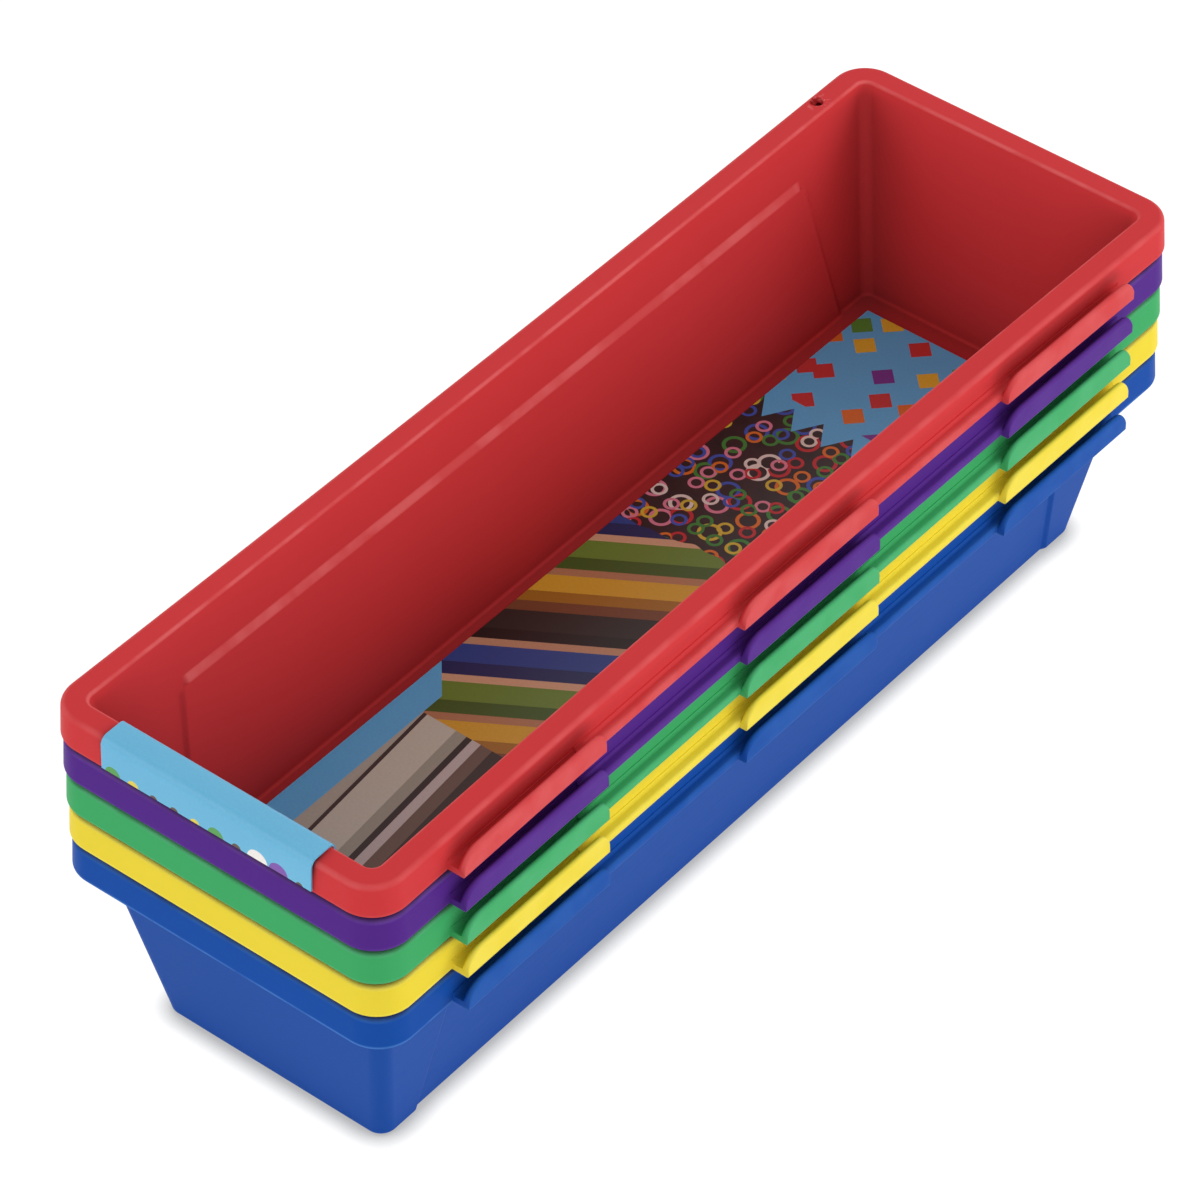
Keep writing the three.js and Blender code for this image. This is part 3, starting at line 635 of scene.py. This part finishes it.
def printed_board(name, length):
    """Coated board with an offset print: smooth, a little glossy, and slightly uneven in its inks."""
    material, tree = new_material(name)
    sheet = add(tree, "ShaderNodeUVMap", uv_map="card_mm").outputs["UV"]
    place = add(tree, "ShaderNodeSeparateXYZ", {0: sheet})
    across, along = place.outputs["X"], place.outputs["Y"]
    cloud = add(tree, "ShaderNodeTexNoise", {"Vector": sheet, "Scale": 1 / BOARD_CLOUD, "Detail": 3.0})

    # Light blue ground: full in colour on the floor, and lighter and greyer up the wall. The two
    # grounds are
    # painted light: the floor's is set brighter against the shade that falls on it inside the tray
    grounds = []
    for deeper, paler in (("#5CB8EC", "#6AC2F6"), ("#5BADD4", "#6DBADE")):
        grounds.append(add(tree, "ShaderNodeMix", {
            0: cloud.outputs["Fac"], 6: linear(deeper), 7: linear(paler)}, data_type="RGBA").outputs[2])
    up_the_wall = add(tree, "ShaderNodeMapRange", {
        "Value": along, "From Min": WALL_START, "From Max": WALL_TOP})
    ground = add(tree, "ShaderNodeMix", {
        0: up_the_wall.outputs["Result"], 6: grounds[0], 7: grounds[1]}, data_type="RGBA").outputs[2]

    # Diamonds strewn over the far end
    strewn = add(tree, "ShaderNodeTexVoronoi", {
        "Vector": sheet, "Scale": 1 / DIAMOND_SPACING, "Randomness": 0.75},
        voronoi_dimensions="2D", distance="MANHATTAN")
    pick = add(tree, "ShaderNodeSeparateColor", {0: strewn.outputs["Color"]})
    tint = add(tree, "ShaderNodeValToRGB", {0: pick.outputs[1]}, stops=(
        (0.0, "#E8C23A"), (0.22, "#E0772B"), (0.42, "#C93A3A"), (0.58, "#5B9A3C"), (0.74, "#7A3B9A"),
        (0.88, "#7A4524")))
    small = add(tree, "ShaderNodeMath", {0: strewn.outputs["Distance"], 1: DIAMOND_SHARE},
                operation="LESS_THAN")
    at_end = add(tree, "ShaderNodeMath", {0: along, 1: DIAMONDS_END}, operation="LESS_THAN")
    shown = add(tree, "ShaderNodeMath", {0: small.outputs[0], 1: at_end.outputs[0]},
                operation="MULTIPLY")
    picture = add(tree, "ShaderNodeMix", {0: shown.outputs[0], 6: ground, 7: tint.outputs[0]},
                  data_type="RGBA").outputs[2]

    # A dark field with two sizes of loose rings, behind a saw-toothed edge
    tooth = add(tree, "ShaderNodeMath", {0: across, 1: TOOTH_WIDTH / 2}, operation="PINGPONG")
    edge = add(tree, "ShaderNodeMath", {0: tooth.outputs[0], 1: TOOTH_SLOPE, 2: FIELD_START},
               operation="MULTIPLY_ADD")
    past_edge = add(tree, "ShaderNodeMath", {0: along, 1: edge.outputs[0]}, operation="GREATER_THAN")
    smoke = add(tree, "ShaderNodeTexNoise", {"Vector": sheet, "Scale": 1 / FIELD_CLOUD})
    dark, darkish = linear("#17110F"), linear("#3A2B2C")
    field = add(tree, "ShaderNodeMix", {0: smoke.outputs["Fac"], 6: dark, 7: darkish},
                data_type="RGBA").outputs[2]
    for spacing, radius, line in RINGS:
        tints, rings = loose_rings(tree, sheet, spacing, radius, line)
        field = add(tree, "ShaderNodeMix", {0: rings, 6: field, 7: tints}, data_type="RGBA").outputs[2]
    picture = add(tree, "ShaderNodeMix", {0: past_edge.outputs[0], 6: picture, 7: field},
                  data_type="RGBA").outputs[2]

    # Slanting bands, past a wavy edge
    wavy = add(tree, "ShaderNodeTexNoise", {"Vector": sheet, "Scale": 1 / SHORE_LENGTH})
    shore = add(tree, "ShaderNodeMath", {0: wavy.outputs["Fac"], 1: SHORE_HEIGHT, 2: along},
                operation="MULTIPLY_ADD")
    in_bands = add(tree, "ShaderNodeMath", {0: shore.outputs[0], 1: BANDS_START},
                   operation="GREATER_THAN")
    bands = broad_bands(tree, sheet)
    picture = add(tree, "ShaderNodeMix", {0: in_bands.outputs[0], 6: picture, 7: bands.outputs[0]},
                  data_type="RGBA").outputs[2]

    # Grey, brown and orange stripes that spread a little along the near part
    slant = add(tree, "ShaderNodeMath", {0: along, 1: STRIPES_SLANT, 2: across},
                operation="MULTIPLY_ADD")
    spread = add(tree, "ShaderNodeMapRange", {
        "Value": slant.outputs[0], "From Min": STRIPES_LEFT, "From Max": STRIPES_RIGHT})
    stripes = add(tree, "ShaderNodeValToRGB", {0: spread.outputs["Result"]}, stops=(
        (0.0, "#B6BAAA"), (0.09, "#3A3633"), (0.11, "#CDD1BF"), (0.27, "#A4A796"), (0.33, "#2A2320"),
        (0.36, "#C9C4BE"), (0.41, "#6F5A4D"), (0.47, "#33231B"), (0.53, "#B45F22"), (0.61, "#2B211C"),
        (0.68, "#5C5A40"), (0.70, "#231D1B"), (0.80, "#8A8C6A"), (0.82, "#2A2321")))
    in_stripes = add(tree, "ShaderNodeMath", {0: along, 1: STRIPES_START}, operation="GREATER_THAN")
    picture = add(tree, "ShaderNodeMix", {0: in_stripes.outputs[0], 6: picture, 7: stripes.outputs[0]},
                  data_type="RGBA").outputs[2]

    # Plain margin on the left of the near part, and plain board from the bend at the wall to the flap
    margin_width = add(tree, "ShaderNodeMapRange", {
        "Value": along, "From Min": MARGIN_START, "From Max": MARGIN_FULL,
        "To Min": -CARD_HALF - 1, "To Max": MARGIN_EDGE})
    in_margin = add(tree, "ShaderNodeMath", {0: across, 1: margin_width.outputs["Result"]},
                    operation="LESS_THAN")
    past_bend = add(tree, "ShaderNodeMath", {0: along, 1: WALL_BEND}, operation="GREATER_THAN")
    plain = add(tree, "ShaderNodeMath", {0: in_margin.outputs[0], 1: past_bend.outputs[0]},
                operation="MAXIMUM")
    picture = add(tree, "ShaderNodeMix", {0: plain.outputs[0], 6: picture, 7: ground},
                  data_type="RGBA").outputs[2]

    # Row of half discs along the flap's lower edge
    column = add(tree, "ShaderNodeMath", {0: across, 1: DISC_SPACING}, operation="DIVIDE")
    cell = add(tree, "ShaderNodeMath", {0: column.outputs[0]}, operation="FLOOR")
    beside = add(tree, "ShaderNodeMath", {0: column.outputs[0]}, operation="FRACT")
    centred = add(tree, "ShaderNodeMath", {
        0: beside.outputs[0], 1: DISC_SPACING, 2: -DISC_SPACING / 2}, operation="MULTIPLY_ADD")
    up = add(tree, "ShaderNodeMath", {0: along, 1: length + DISC_BELOW}, operation="SUBTRACT")
    spot = add(tree, "ShaderNodeCombineXYZ", {0: centred.outputs[0], 1: up.outputs[0]})
    reach = add(tree, "ShaderNodeVectorMath", {0: spot.outputs[0]}, operation="LENGTH")
    chance = add(tree, "ShaderNodeTexWhiteNoise", {"W": cell.outputs[0]}, noise_dimensions="1D")
    size = add(tree, "ShaderNodeMapRange", {
        "Value": chance.outputs["Value"], "To Min": DISC_SMALL, "To Max": DISC_LARGE})
    in_disc = add(tree, "ShaderNodeMath", {0: reach.outputs["Value"], 1: size.outputs["Result"]},
                  operation="LESS_THAN")
    disc_tint = add(tree, "ShaderNodeValToRGB", {0: chance.outputs["Value"]}, stops=(
        (0.0, "#5A4434"), (0.15, "#E3CE45"), (0.32, "#E58A33"), (0.48, "#4E9A47"), (0.62, "#C9408F"),
        (0.76, "#7B4BA8"), (0.88, "#F1ECE6")))
    picture = add(tree, "ShaderNodeMix", {0: in_disc.outputs[0], 6: picture, 7: disc_tint.outputs[0]},
                  data_type="RGBA").outputs[2]

    # Ink laid down a little unevenly, in a mottle drawn coarse so that it shows
    mottle = add(tree, "ShaderNodeTexNoise", {"Vector": sheet, "Scale": 1 / INK_MOTTLE, "Detail": 2.0})
    ink = add(tree, "ShaderNodeMapRange", {
        "Value": mottle.outputs["Fac"], "To Min": 0.9, "To Max": 1.08})
    inked = add(tree, "ShaderNodeVectorMath", {0: picture, "Scale": ink.outputs["Result"]},
                operation="SCALE")
    bump = add(tree, "ShaderNodeBump", {
        "Height": cloud.outputs["Fac"], "Strength": 0.1, "Distance": 0.4 * MM})
    shader = add(tree, "ShaderNodeBsdfPrincipled", {
        "Base Color": inked.outputs[0], "Roughness": 0.36, "Normal": bump.outputs["Normal"],
        "Specular IOR Level": 0.4})
    add(tree, "ShaderNodeOutputMaterial", {"Surface": shader.outputs["BSDF"]})
    return material


def bare_board(name):
    """Uncoated paperboard on the card's back and ends: matt, off-white, with short fibres, drawn
    coarse so that they show."""
    material, tree = new_material(name)
    place = add(tree, "ShaderNodeTexCoord").outputs["Object"]
    drawn_out = add(tree, "ShaderNodeMapping", {"Vector": place, "Scale": (1.0, 0.35, 1.0)})
    fibres = add(tree, "ShaderNodeTexNoise", {
        "Vector": drawn_out.outputs["Vector"], "Scale": 1 / (FIBRE * MM), "Detail": 3.0})
    tint = add(tree, "ShaderNodeMix", {
        0: fibres.outputs["Fac"], 6: linear("#C9C4BA"), 7: linear("#E4E1DA")}, data_type="RGBA")
    bump = add(tree, "ShaderNodeBump", {
        "Height": fibres.outputs["Fac"], "Strength": 0.2, "Distance": 0.1 * MM})
    shader = add(tree, "ShaderNodeBsdfPrincipled", {
        "Base Color": tint.outputs[2], "Roughness": 0.85, "Normal": bump.outputs["Normal"]})
    add(tree, "ShaderNodeOutputMaterial", {"Surface": shader.outputs["BSDF"]})
    return material


for level, (colour, hex_colour, pale_hex, *_) in enumerate(TRAYS):
    tray = make_tray(level)
    plastic = moulded_polypropylene(colour + "_polypropylene", hex_colour, pale_hex, level)
    tray.data.materials.append(plastic)
    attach(tray, colour + "_tray")
    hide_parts(colour + "_tray")

card, card_length = make_card()
card.data.materials.append(printed_board("offset_printed_board", card_length))
card.data.materials.append(bare_board("bare_paperboard"))
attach(card, "card_insert")
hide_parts("card_insert")


# Floor, light and camera

def seen_by_eye(tree):
    """1 for what the camera sees, also in a reflection or through something clear."""
    rays = add(tree, "ShaderNodeLightPath").outputs
    eye = rays["Is Camera Ray"]
    for ray in ("Is Glossy Ray", "Is Transmission Ray"):
        eye = add(tree, "ShaderNodeMath", {0: eye, 1: rays[ray]}, operation="MAXIMUM").outputs[0]
    return eye


def white_floor():
    """Matt white paper that bounces plain light. The eye sees it pure white, but for a painted shadow
    close around the base, drawn from how closed in each point is, and a thin share of the lamps' own
    shadow."""
    material, tree = new_material("white_paper_sweep")
    eye = seen_by_eye(tree)
    paper = add(tree, "ShaderNodeBsdfDiffuse", {"Color": linear("#E7E7E7")})
    thin = add(tree, "ShaderNodeBsdfDiffuse", {"Color": linear("#6C6C6C")})
    # Painted shadow: the glow dims where the base closes in
    closeness = add(tree, "ShaderNodeAmbientOcclusion", {"Distance": 5 * MM}, samples=16)
    shade = add(tree, "ShaderNodeMapRange", {
        "Value": closeness.outputs["AO"], "From Min": 0.45, "From Max": 0.96,
        "To Min": 0.42, "To Max": 0.97})
    glow = add(tree, "ShaderNodeEmission", {"Strength": shade.outputs["Result"]})
    both = add(tree, "ShaderNodeAddShader", {0: thin.outputs[0], 1: glow.outputs[0]})
    pick = add(tree, "ShaderNodeMixShader", {0: eye, 1: paper.outputs[0], 2: both.outputs[0]})
    add(tree, "ShaderNodeOutputMaterial", {"Surface": pick.outputs[0]})
    return material


# The floor lies a hair below the lowest tray, so that the two never share a plane
sheet = bmesh.new()
bmesh.ops.create_grid(sheet, x_segments=1, y_segments=1, size=4.0)
floor = make_object("floor", sheet)
floor.location.z = -0.2 * MM
floor.data.materials.append(white_floor())


LIT_POINT = Vector((0, 0, 0.05))


def soft_light(name, place, size, power):
    """A square softbox at a place in metres, turned to a point low in the middle of the object."""
    lamp = bpy.data.lights.new(name, "AREA")
    lamp.shape = "SQUARE"
    lamp.size = size
    lamp.energy = power
    holder = bpy.data.objects.new(name, lamp)
    holder.location = place
    holder.rotation_euler = (LIT_POINT - Vector(place)).to_track_quat("-Z", "Y").to_euler()
    bpy.context.scene.collection.objects.link(holder)


soft_light("right_softbox", (0.82, 0.68, 0.56), 0.5, 3.3)
soft_light("left_softbox", (-0.60, -0.85, 0.70), 0.5, 1.2)


def light_tent():
    """An even white tent, brighter round its sides than overhead, and plain white to the eye."""
    world = bpy.data.worlds.new("light_tent")
    world.use_nodes = True
    tree = world.node_tree
    tree.nodes.clear()
    eye = seen_by_eye(tree)
    direction = add(tree, "ShaderNodeTexCoord").outputs["Generated"]
    height = add(tree, "ShaderNodeSeparateXYZ", {0: direction}).outputs["Z"]
    level = add(tree, "ShaderNodeMapRange", {"Value": height, "To Min": 1.8, "To Max": 0.3})
    white = linear("#FFFFFF")
    tent = add(tree, "ShaderNodeBackground", {"Color": white, "Strength": level.outputs["Result"]})
    seen = add(tree, "ShaderNodeBackground", {"Color": white, "Strength": 1.0})
    pick = add(tree, "ShaderNodeMixShader", {0: eye, 1: tent.outputs[0], 2: seen.outputs[0]})
    add(tree, "ShaderNodeOutputWorld", {"Surface": pick.outputs[0]})
    return world


bpy.context.scene.world = light_tent()
bpy.context.scene.view_settings.view_transform = "Standard"

# Camera: where it stands off the hooked side's near end, in millimetres, and how it looks down
YAW, PITCH, ROLL = (math.radians(a) for a in (39.40, 42.87, -0.46))
FOCAL_PIXELS, FRAME_PIXELS, SENSOR = 6141.2, 1200.0, 36.0
EYE = Vector((584.8, -723.8, 909.0)) * MM
back = Vector((math.sin(YAW) * math.cos(PITCH), -math.cos(YAW) * math.cos(PITCH), math.sin(PITCH)))
level_right = Vector((math.cos(YAW), math.sin(YAW), 0))
level_up = back.cross(level_right)
right = level_right * math.cos(ROLL) + level_up * math.sin(ROLL)
up = back.cross(right)
lens = bpy.data.cameras.new("camera")
lens.sensor_width = SENSOR
lens.lens = FOCAL_PIXELS / FRAME_PIXELS * SENSOR
lens.clip_end = 20
camera = bpy.data.objects.new("camera", lens)
camera.matrix_world = Matrix((right, up, back)).transposed().to_4x4()
camera.location = EYE
bpy.context.scene.collection.objects.link(camera)
bpy.context.scene.camera = camera
